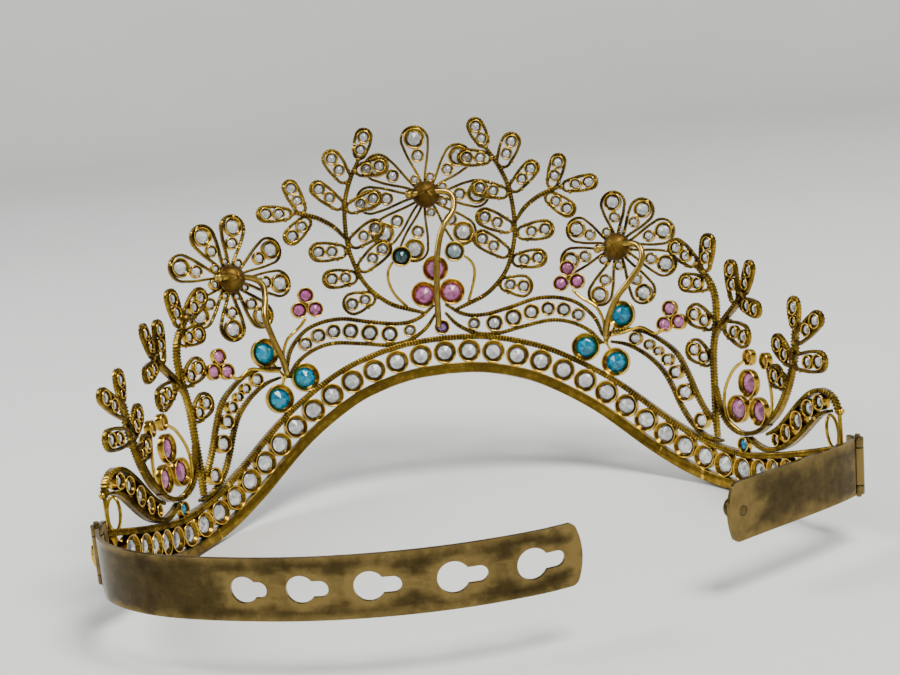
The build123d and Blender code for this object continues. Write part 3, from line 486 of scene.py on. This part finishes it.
# ======================= the CAD model's round pieces ==============================================
HEAD_CENTER_Y = SHIFT_Y - 10        # stones face away from here


def loose_parts(node_name):
    """Vertex arrays (mm) of each separate solid of a CAD node."""
    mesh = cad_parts[node_name].data
    co = np.zeros(len(mesh.vertices) * 3)
    mesh.vertices.foreach_get("co", co)
    co = co.reshape(-1, 3) / MM
    keys, index = np.unique(np.round(co, 3), axis=0, return_inverse=True)
    index = index.ravel()
    parent = list(range(len(keys)))

    def root(i):
        while parent[i] != i:
            parent[i] = parent[parent[i]]
            i = parent[i]
        return i

    for polygon in mesh.polygons:
        first = root(index[polygon.vertices[0]])
        for other in polygon.vertices[1:]:
            parent[root(index[other])] = first
    groups = {}
    for i in range(len(keys)):
        groups.setdefault(root(i), []).append(i)
    return [keys[members] for members in groups.values()]


def discs(node_name):
    """Centre, outward axis, radius and depth of each revolved solid of a CAD node."""
    found = []
    for points in loose_parts(node_name):
        middle = points.mean(axis=0)
        values, vectors = np.linalg.eigh(np.cov((points - middle).T))
        lone = 0 if values[1] - values[0] > values[2] - values[1] else 2
        axis = vectors[:, lone]
        outward = middle - np.array((0, HEAD_CENTER_Y, middle[2]))
        axis = axis if axis.dot(outward) > 0 else -axis
        u, v = vectors[:, (lone + 1) % 3], vectors[:, (lone + 2) % 3]
        center = sum(0.5 * ((points @ w).min() + (points @ w).max()) * w for w in (axis, u, v))
        depth = np.ptp(points @ axis)
        flat = points - center
        flat -= np.outer(flat @ axis, axis)
        found.append((center, axis, np.linalg.norm(flat, axis=1).max(), depth))
    return sorted(found, key=lambda disc: tuple(np.round(disc[0], 2)))


# ======================= materials =================================================================
PATCH_SCALE, GRAIN_SCALE, GRAIN_SHARE = 95, 800, 0.42       # brass: size of the two patterns, their mix
# brass: edge wear with painted shade in the grooves, and painted shade in the corners
EDGE_WEAR_AND_GROOVE_SHADE, PAINTED_CORNER_SHADE, CORNER_REACH = 0.42, 0.36, 0.0011        # the last one in metres
FACET_STEP = 0.12           # glass: how far a normal turns before it counts as the next facet
CLEAR_ROUGHNESS, GLASS_IOR = 0.03, 1.55


def new_material(name):
    material = bpy.data.materials.new(name)
    material.use_nodes = True
    nodes, links = material.node_tree.nodes, material.node_tree.links
    return material, nodes, links, nodes["Principled BSDF"]


def node(nodes, kind, **values):
    """A new node; each value goes to the input of that name, or else to the setting."""
    made = nodes.new(kind)
    for key, value in values.items():
        if key in made.inputs:
            made.inputs[key].default_value = value
        else:
            setattr(made, key, value)
    return made


def set_inputs(made, values):
    """Values of inputs whose names have spaces in them, or of numbered ones."""
    for key, value in values.items():
        made.inputs[key].default_value = value


def ramp(nodes, stops):
    made = nodes.new("ShaderNodeValToRGB")
    elements = made.color_ramp.elements
    while len(elements) < len(stops):
        elements.new(0.5)
    for element, (position, color) in zip(elements, stops):
        element.position = position
        element.color = (*color, 1)
    return made


def brass(name, bright, middle, dark, roughness, patch, scale=1.0):
    """Aged gilt: worn bright edges with painted shade in the grooves, brown patina in patches and painted
    shade in the corners.

    A higher patch leaves less of the bright metal; scale sets how fine the patches are.
    """
    material, nodes, links, shader = new_material(name)
    place = nodes.new("ShaderNodeTexCoord")
    big = node(nodes, "ShaderNodeTexNoise", Scale=PATCH_SCALE * scale, Detail=5.0, Roughness=0.65)
    fine = node(nodes, "ShaderNodeTexNoise", Scale=GRAIN_SCALE * scale, Detail=4.0, Roughness=0.65)
    for texture in (big, fine):
        links.new(place.outputs["Object"], texture.inputs["Vector"])
    mix = node(nodes, "ShaderNodeMix", data_type="FLOAT", Factor=GRAIN_SHARE)
    links.new(big.outputs["Fac"], mix.inputs["A"])
    links.new(fine.outputs["Fac"], mix.inputs["B"])
    geometry = nodes.new("ShaderNodeNewGeometry")
    # pointiness: worn edges lighter, and painted shade darkening the grooves between the teeth and other
    # hollows
    edge = ramp(nodes, [(0.42, (0, 0, 0)), (0.50, (0.30, 0.30, 0.30)), (0.57, (1, 1, 1))])
    links.new(geometry.outputs["Pointiness"], edge.inputs["Fac"])
    wear_and_groove_shade = node(nodes, "ShaderNodeMath", operation="MULTIPLY_ADD")
    set_inputs(wear_and_groove_shade, {1: EDGE_WEAR_AND_GROOVE_SHADE})
    links.new(edge.outputs["Color"], wear_and_groove_shade.inputs[0])
    links.new(mix.outputs["Result"], wear_and_groove_shade.inputs[2])
    # painted shade: the colour darkens where other metal is within CORNER_REACH, as in corners and joints
    corner = node(nodes, "ShaderNodeAmbientOcclusion", Distance=CORNER_REACH, samples=6)
    painted_corner_shade = node(nodes, "ShaderNodeMath", operation="MULTIPLY_ADD")
    set_inputs(painted_corner_shade, {1: PAINTED_CORNER_SHADE, 2: -PAINTED_CORNER_SHADE})
    links.new(corner.outputs["AO"], painted_corner_shade.inputs[0])
    shown = node(nodes, "ShaderNodeMath", operation="ADD")
    links.new(wear_and_groove_shade.outputs["Value"], shown.inputs[0])
    links.new(painted_corner_shade.outputs["Value"], shown.inputs[1])
    color = ramp(nodes, [(patch - 0.17, dark), (patch + 0.04, middle), (patch + 0.30, bright)])
    links.new(shown.outputs["Value"], color.inputs["Fac"])
    links.new(color.outputs["Color"], shader.inputs["Base Color"])
    rough = nodes.new("ShaderNodeMapRange")
    set_inputs(rough, {"From Min": 0.3, "From Max": 0.9, "To Min": roughness + 0.18,
                       "To Max": roughness - 0.08})
    links.new(shown.outputs["Value"], rough.inputs["Value"])
    links.new(rough.outputs["Result"], shader.inputs["Roughness"])
    bump = node(nodes, "ShaderNodeBump", Strength=0.45, Distance=0.00008)
    links.new(mix.outputs["Result"], bump.inputs["Height"])
    links.new(bump.outputs["Normal"], shader.inputs["Normal"])
    set_inputs(shader, {"Metallic": 1.0})
    return material


def paste(name, tint, pale, cloud, transmission, sparkle=0.6):
    """Cut glass: a tint that clouds from place to place, each facet lighter or darker as painted
    reflections.
    """
    material, nodes, links, shader = new_material(name)
    place = nodes.new("ShaderNodeTexCoord")
    haze = node(nodes, "ShaderNodeTexNoise", Scale=220.0, Detail=3.0, Roughness=0.6)
    links.new(place.outputs["Object"], haze.inputs["Vector"])
    color = ramp(nodes, [(0.38, tint), (0.66, pale)])
    links.new(haze.outputs["Fac"], color.inputs["Fac"])
    rough = nodes.new("ShaderNodeMapRange")
    set_inputs(rough, {"From Min": 0.35, "From Max": 0.7, "To Min": CLEAR_ROUGHNESS,
                       "To Max": CLEAR_ROUGHNESS + cloud})
    links.new(haze.outputs["Fac"], rough.inputs["Value"])
    links.new(rough.outputs["Result"], shader.inputs["Roughness"])
    # painted reflections: each facet's normal picks a random light or dark tone
    snapped = node(nodes, "ShaderNodeVectorMath", operation="SNAP")
    set_inputs(snapped, {1: (FACET_STEP, FACET_STEP, FACET_STEP)})
    links.new(place.outputs["Normal"], snapped.inputs[0])
    facet = node(nodes, "ShaderNodeTexWhiteNoise", noise_dimensions="3D")
    links.new(snapped.outputs["Vector"], facet.inputs["Vector"])
    glint = ramp(nodes, [(0.25, (0.02, 0.02, 0.02)), (0.55, (0.55, 0.55, 0.55)), (0.85, (1, 1, 1))])
    links.new(facet.outputs["Value"], glint.inputs["Fac"])
    shade = node(nodes, "ShaderNodeMix", data_type="RGBA", blend_type="MULTIPLY", Factor=sparkle)
    links.new(color.outputs["Color"], shade.inputs["A"])
    links.new(glint.outputs["Color"], shade.inputs["B"])
    links.new(shade.outputs["Result"], shader.inputs["Base Color"])
    set_inputs(shader, {"Transmission Weight": transmission, "IOR": GLASS_IOR})
    return material


# name, bright, middle and dark colours, roughness, patch, scale
GILT = brass("gilt_wire", (0.80, 0.53, 0.070), (0.23, 0.138, 0.013), (0.022, 0.012, 0.003), 0.17, 0.59)
COLLET_GILT = brass("collet_gilt", (0.82, 0.52, 0.062), (0.25, 0.138, 0.012), (0.026, 0.013, 0.003),
                    0.16, 0.60)
RIM_GILT = brass("rim_gilt", (0.84, 0.57, 0.085), (0.27, 0.162, 0.017), (0.03, 0.016, 0.004), 0.18, 0.57)
PLAIN_GILT = brass("plain_gilt", (0.66, 0.43, 0.070), (0.20, 0.122, 0.015), (0.06, 0.035, 0.008),
                   0.19, 0.57, 0.7)
STEM_GILT = brass("stem_gilt", (0.48, 0.32, 0.065), (0.20, 0.125, 0.022), (0.05, 0.028, 0.006), 0.28, 0.60)
STRAP_GILT = brass("strap_gilt", (0.19, 0.130, 0.042), (0.065, 0.045, 0.016), (0.026, 0.017, 0.007),
                   0.24, 0.64, 0.40)
HUB_GILT = brass("hub_gilt", (0.34, 0.205, 0.038), (0.14, 0.080, 0.015), (0.04, 0.02, 0.005), 0.46, 0.60)
# name, tint, pale tint, cloud, transmission, sparkle
GLASS = {"clear": paste("clear_paste", (1.0, 1.0, 1.0), (0.92, 0.93, 0.92), 0.08, 0.88, 0.52),
         "turquoise": paste("turquoise_paste", (0.0, 0.40, 0.70), (0.02, 0.58, 0.84), 0.08, 0.50),
         "rose": paste("rose_paste", (0.76, 0.16, 0.47), (0.88, 0.40, 0.68), 0.1, 0.65, 0.5),
         "amber": paste("amber_paste", (0.80, 0.34, 0.01), (0.90, 0.50, 0.04), 0.1, 0.80),
         "teal": paste("teal_paste", (0.01, 0.10, 0.11), (0.16, 0.36, 0.36), 0.06, 0.80),
         "opal": paste("opal_paste", (0.36, 0.60, 0.66), (0.72, 0.84, 0.86), 0.3, 0.45),
         "purple": paste("purple_paste", (0.30, 0.12, 0.42), (0.55, 0.36, 0.62), 0.2, 0.6),
         "garnet": paste("garnet_paste", (0.10, 0.004, 0.008), (0.22, 0.01, 0.02), 0.1, 0.7)}


# ======================= rims, rails, stems and leaves ==============================================
def rim_piece(name, node_name, offset, end, material, **options):
    soup = Soup()
    soup.add(*wall_strip(band_offset(offset, end), depth=RIM_DEPTH, **options))
    mesh_piece(name, soup, material, "crown_frame", [node_name])


def strip_piece(node_name, line):
    soup = Soup()
    both_sides(soup, *wall_strip(smooth(line), taper=STRIP_TAPER))
    mesh_piece(node_name + "_milled", soup, GILT, "crown_frame", [node_name])


rim_piece("upper_rim_milled", "upper_rim", UPPER_RIM_OFFSET, UPPER_RIM_END, RIM_GILT,
          width=UPPER_RIM_WIDTH, tooth=RIM_TOOTH)
rim_piece("lower_rim_plain", "lower_rim", -LOWER_RIM_OFFSET, LOWER_RIM_END, PLAIN_GILT,
          width=LOWER_RIM_WIDTH, tooth=0.0, dome=0.25)
for name, rails in SCROLLS.items():
    for part, rail in zip(("upper", "lower"), rails):
        strip_piece(name + "_" + part + "_rails", rail)


def solder_lump(spot, size, outward, low, high):
    """Lump of solder near a spot, its size times a number drawn between low and high."""
    return blob(spot - outward * random.uniform(0.0, 0.3), size * random.uniform(low, high), outward, 0.9,
                random.uniform(0, 50))


def leaf_axis(leaf, lines):
    """Foot of a leaf on the nearest stem line, its direction and its reach to the outer collet."""
    outer, inner = leaf
    length = hypot(outer[0] - inner[0], outer[1] - inner[1])
    back = ((outer[0] - inner[0]) / length, (outer[1] - inner[1]) / length)
    aim = (inner[0] - LEAF_AIM * back[0], inner[1] - LEAF_AIM * back[1])
    foot = min((nearest(line, aim) for line in lines), key=lambda found: found[1])[0]
    reach = hypot(outer[0] - foot[0], outer[1] - foot[1])
    return foot, ((outer[0] - foot[0]) / reach, (outer[1] - foot[1]) / reach), reach


def add_leaf(loops, solder, outer, way, reach, room):
    """One leaf's loop, given half the room beside it, and the solder at its joints."""
    outer_r = min(LEAF_OUTER_R, room - OUTER_CLEARANCE)
    inner_r = min(LEAF_INNER_R, room - INNER_CLEARANCE)
    shift = outer_r - LEAF_WIRE - LEAF_COLLET_R - COLLET_TOUCH
    length = reach - shift - inner_r - STALK_WIDTH / 2 + STEM_BITE
    origin, along, up, outward = wall_frame(outer[0] - shift * way[0], outer[1] - shift * way[1])
    across, rise = turned(along, up, atan2(way[1], way[0]))
    half = LEAF_WIRE / 2
    outline = leaf_outline(outer_r - half, inner_r - half, length)
    both_sides(loops, *plane_strip(outline, origin, across, rise, outward, width=LEAF_WIRE,
                                   depth=LEAF_DEPTH, tooth=LEAF_TOOTH))
    at_stem, between_collets, at_tip = -length - inner_r, shift - LEAF_COLLET_R - 0.05, outer_r - 0.6
    beside = inner_r - 0.5
    for x, y, size in ((at_stem, 0, 0.95), (between_collets, 0, 0.5), (at_tip, 0, 0.62),
                       (-length, beside, 0.5), (-length, -beside, 0.5)):
        both_sides(solder, *solder_lump(origin + across * x + rise * y, size, outward, 0.75, 1.2))


branches, solder = Soup(), Soup()
for name, (stem, branch, leaves) in SPRAYS.items():
    lines = [smooth(stem)] + ([smooth(branch)] if branch else [])
    stems, loops = Soup(), Soup()
    for soup, line in zip((stems, branches), lines):
        both_sides(soup, *wall_strip(line, taper=STRIP_TAPER, width=STALK_WIDTH))
    axes = [leaf_axis(leaf, lines) for leaf in leaves]
    spans = [(leaf[0], (foot[0] + LEAF_ROOT * way[0], foot[1] + LEAF_ROOT * way[1]))
             for leaf, (foot, way, reach) in zip(leaves, axes)]
    for span, (foot, way, reach) in zip(spans, axes):
        room = min(segment_gap(span, other) for other in spans if other is not span) / 2
        add_leaf(loops, solder, span[0], way, reach, room)
    mesh_piece(name + "_stems_milled", stems, GILT, "crown_frame", [name + "_stems"])
    mesh_piece(name + "_leaf_loops", loops, GILT, "crown_frame", [name + "_leaves"])
mesh_piece("spray_branches_milled", branches, GILT, "crown_frame", ["spray_branches"])
strip_piece("cradles", CRADLE)

soup = Soup()
for line, out, end_out, paired in TENDRILS:
    points = smooth(line, 1.0)
    route = [wall_frame(s, h, out)[0] for s, h in points[:-1]] + [wall_frame(*points[-1], end_out)[0]]
    wire = tube(route, WIRE_R, wobble=0.12, seed=line[0][0])
    if paired:
        both_sides(soup, *wire)
    else:
        soup.add(*wire)
mesh_piece("tendril_wires", soup, GILT, "crown_frame", ["tendrils"])


# ======================= collets and stones ========================================================
def collet_piece(node_name, body="crown_frame"):
    """Turned cups in place of all the collets of a CAD node."""
    soup = Soup()
    for center, axis, radius, depth in discs(node_name):
        soup.add(*collet_mesh(center, axis, radius, depth, random.uniform(0, 6)))
    mesh_piece(node_name + "_turned", soup, COLLET_GILT, body, [node_name])


def stone_piece(node_name, glass, body="crown_frame"):
    """Faceted stones in place of all the stones of a CAD node."""
    soup = Soup()
    for center, axis, radius, depth in discs(node_name):
        seat = center - axis * (depth / 2 - CULET_DEPTH * radius)
        soup.add(*stone_mesh(seat, axis, radius, random.uniform(0, 6)), smoothed=False)
    mesh_piece(node_name + "_cut", soup, GLASS[glass], body, [node_name])


STONES = {"band_stones": "clear", "scroll_stones": "clear", "leaf_stones": "clear",
          "turquoise_stones": "turquoise", "pink_stones": "rose", "amber_stones": "amber",
          "teal_stone": "teal", "opal_stone": "opal", "purple_stone": "purple", "hinge_stones": "garnet"}
for node_name, glass in STONES.items():
    stone_piece(node_name, glass)
for node_name in ("band_collets", "scroll_collets", "leaf_collets", "turquoise_collets", "pink_collets",
                  "amber_collets", "accent_collets", "hinge_collets"):
    collet_piece(node_name)


# ======================= flowers ====================================================================
def petal_piece(side, center, along, up, outward):
    """The petals of one flower, with solder at both ends of each big collet."""
    half, big = PETAL_SIZES[side]
    soup = Soup()
    for turn, big_at in PETALS[side]:
        reach = big_at - (half - PETAL_WIRE - big) + PETAL_TOUCH
        across, rise = turned(along, up, radians(turn))
        soup.add(*plane_strip(petal_outline(reach - PETAL_ROOT, half), center + across * reach, across,
                              rise, outward, width=PETAL_WIRE, depth=PETAL_DEPTH, tooth=PETAL_TOOTH))
        for x, size in ((big_at + big, 0.7), (big_at - big, 0.62)):
            soup.add(*solder_lump(center + across * x, size, outward, 0.8, 1.15))
    mesh_piece(side + "_flower_petal_loops", soup, GILT, side + "_flower", [side + "_flower_petals"])


def cap_piece(side, center, outward):
    """The domed hub, with its neck behind the petals' wires."""
    dome = [(0.0, -HUB_R)] + [(HUB_R * sin(a), -HUB_R * cos(a)) for a in np.linspace(0.12, pi / 2, 12)]
    neck = [(HUB_R, 0.0), (3.0, 0.2), (3.0, 2.0), (2.7, 2.1), (0.0, 2.1)]
    soup = Soup()
    soup.add(*lathe(dome + neck, center - outward * HUB_SINK, outward, 1.0, 40, 0.03))
    mesh_piece(side + "_flower_cap", soup, HUB_GILT, side + "_flower", [side + "_flower_hub"])


def add_stem(soup, side, s, h):
    """Thick wire from its hook through the flower's hub down to the band."""
    origin, along, up, outward = wall_frame(s, h)
    hook = [tuple(origin + along * x + outward * PIVOT_OUT) for x in STEM_HOOK]
    rest = [tuple(wall_frame(s + ds, h + dh, out)[0]) for ds, dh, out in STEM_ROUTES[side]]
    soup.add(*tube(smooth(hook + rest, 0.8), STEM_R, 14, wobble=0.06, seed=s))
    soup.add(*blob(np.array(hook[0]), STEM_HEAD_R, along, 0.95, s))


stem_soup = Soup()
for side, (s, h) in FLOWERS.items():
    origin, along, up, outward = wall_frame(s, h)
    center = origin + outward * FLOWER_OUT
    petal_piece(side, center, along, up, outward)
    collet_piece(side + "_flower_collets", side + "_flower")
    stone_piece(side + "_flower_stones", "clear", side + "_flower")
    cap_piece(side, center, outward)
    add_stem(stem_soup, side, s, h)
mesh_piece("flower_stem_wires", stem_soup, STEM_GILT, "crown_frame", ["flower_stems"])
mesh_piece("solder_lumps", solder, HUB_GILT, "crown_frame", [])


# ======================= CAD pieces kept ============================================================
WELD, FLAT_ANGLE, EDGE_ANGLE = 2e-6, radians(0.5), radians(35)      # metres, radians


def softened(node_name, material, body, width):
    """A copy of a CAD node with its sharp edges rounded over."""
    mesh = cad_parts[node_name].data.copy()
    made = bmesh.new()
    made.from_mesh(mesh)
    bmesh.ops.remove_doubles(made, verts=made.verts, dist=WELD)
    bmesh.ops.dissolve_limit(made, angle_limit=FLAT_ANGLE, verts=made.verts, edges=made.edges)
    made.to_mesh(mesh)
    made.free()
    mesh.materials.clear()
    mesh.materials.append(material)
    mesh.polygons.foreach_set("use_smooth", [True] * len(mesh.polygons))
    piece = bpy.data.objects.new(node_name + "_soft", mesh)
    bpy.context.scene.collection.objects.link(piece)
    bevel = piece.modifiers.new("edges", "BEVEL")
    bevel.width, bevel.segments, bevel.limit_method = width * MM, 2, "ANGLE"
    bevel.angle_limit = EDGE_ANGLE
    bevel.harden_normals = True
    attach(piece, body)
    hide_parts(node_name)


for name in ("left_strap", "right_strap"):
    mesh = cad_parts[name].data
    mesh.materials.clear()
    mesh.materials.append(STRAP_GILT)
softened("stud", STRAP_GILT, "right_strap", 0.15)
softened("hinge_brackets", STRAP_GILT, "crown_frame", 0.15)
softened("hinge_pins", STRAP_GILT, "crown_frame", 0.15)
softened("end_posts", GILT, "crown_frame", 0.05)
softened("end_loops", GILT, "crown_frame", 0.05)
softened("trefoil_stars", GILT, "crown_frame", 0.08)


# ======================= stage, light and camera ===================================================
FLOOR_R, FILLET_R, WALL_TOP = 1.3, 0.35, 0.75       # metres
FLOOR_SEGMENTS = 96
LIT_POINT = (0, 0, 0.04)    # both lights aim here


def floor_mesh():
    """Round floor that curves up into a wall, seen only from inside."""
    profile = [(0.0, 0.0), (FLOOR_R * 0.5, 0.0), (FLOOR_R, 0.0)]
    profile += [(FLOOR_R + FILLET_R * sin(a), FILLET_R * (1 - cos(a)))
                for a in np.linspace(0.2, pi / 2, 8)]
    profile += [(FLOOR_R + FILLET_R, WALL_TOP)]
    verts, faces = [], []
    for i in range(FLOOR_SEGMENTS):
        angle = 2 * pi * i / FLOOR_SEGMENTS
        verts += [(r * cos(angle), r * sin(angle), z) for r, z in profile]
        a, b = i * len(profile), (i + 1) % FLOOR_SEGMENTS * len(profile)
        faces += [(a + j, b + j, b + j + 1, a + j + 1) for j in range(len(profile) - 1)]
    mesh = bpy.data.meshes.new("floor")
    mesh.from_pydata(verts, [], faces)
    mesh.polygons.foreach_set("use_smooth", [True] * len(faces))
    return mesh


def pale_floor():
    material, nodes, links, shader = new_material("pale_floor")
    place = nodes.new("ShaderNodeTexCoord")
    mottle = node(nodes, "ShaderNodeTexNoise", Scale=3.0, Detail=4.0)
    links.new(place.outputs["Object"], mottle.inputs["Vector"])
    tone = ramp(nodes, [(0.3, (0.84, 0.85, 0.82)), (0.7, (0.885, 0.89, 0.87))])
    links.new(mottle.outputs["Fac"], tone.inputs["Fac"])
    links.new(tone.outputs["Color"], shader.inputs["Base Color"])
    set_inputs(shader, {"Roughness": 0.7})
    return material


floor = bpy.data.objects.new("floor", floor_mesh())
bpy.context.scene.collection.objects.link(floor)
floor.data.materials.append(pale_floor())


def area_light(name, location, size, power, color):
    """Round soft light aimed at the crown."""
    light = bpy.data.lights.new(name, "AREA")
    light.shape, light.size, light.energy, light.color = "DISK", size, power, color
    lamp = bpy.data.objects.new(name, light)
    lamp.location = location
    lamp.rotation_euler = (Vector(LIT_POINT) - Vector(location)).to_track_quat("-Z", "Y").to_euler()
    bpy.context.scene.collection.objects.link(lamp)


area_light("key", (-0.35, 0.35, 1.25), 0.6, 19, (1.0, 0.985, 0.955))
area_light("fill", (0.9, -0.1, 0.9), 0.6, 8, (0.93, 0.96, 1.0))


def soft_room():
    """World of light and dark patches for the metal and the stones to mirror."""
    world = bpy.data.worlds.new("soft_room")
    world.use_nodes = True
    nodes, links = world.node_tree.nodes, world.node_tree.links
    sky = nodes["Background"]
    set_inputs(sky, {"Strength": 0.6})
    place = nodes.new("ShaderNodeTexCoord")
    patches = node(nodes, "ShaderNodeTexNoise", Scale=1.7, Detail=1.0)
    links.new(place.outputs["Generated"], patches.inputs["Vector"])
    tone = ramp(nodes, [(0.40, (0.10, 0.10, 0.10)), (0.56, (0.95, 0.97, 1.0))])
    links.new(patches.outputs["Fac"], tone.inputs["Fac"])
    links.new(tone.outputs["Color"], sky.inputs["Color"])
    return world


bpy.context.scene.world = soft_room()

camera_data = bpy.data.cameras.new("camera")
camera_data.sensor_width, camera_data.lens = SENSOR_WIDTH, LENS
camera = bpy.data.objects.new("camera", camera_data)
axes = Matrix((CAMERA_RIGHT, [-c for c in CAMERA_DOWN], [-c for c in CAMERA_FORWARD])).transposed()
camera.matrix_world = Matrix.Translation(CAMERA_AT) @ axes.to_4x4()
bpy.context.scene.collection.objects.link(camera)
bpy.context.scene.camera = camera
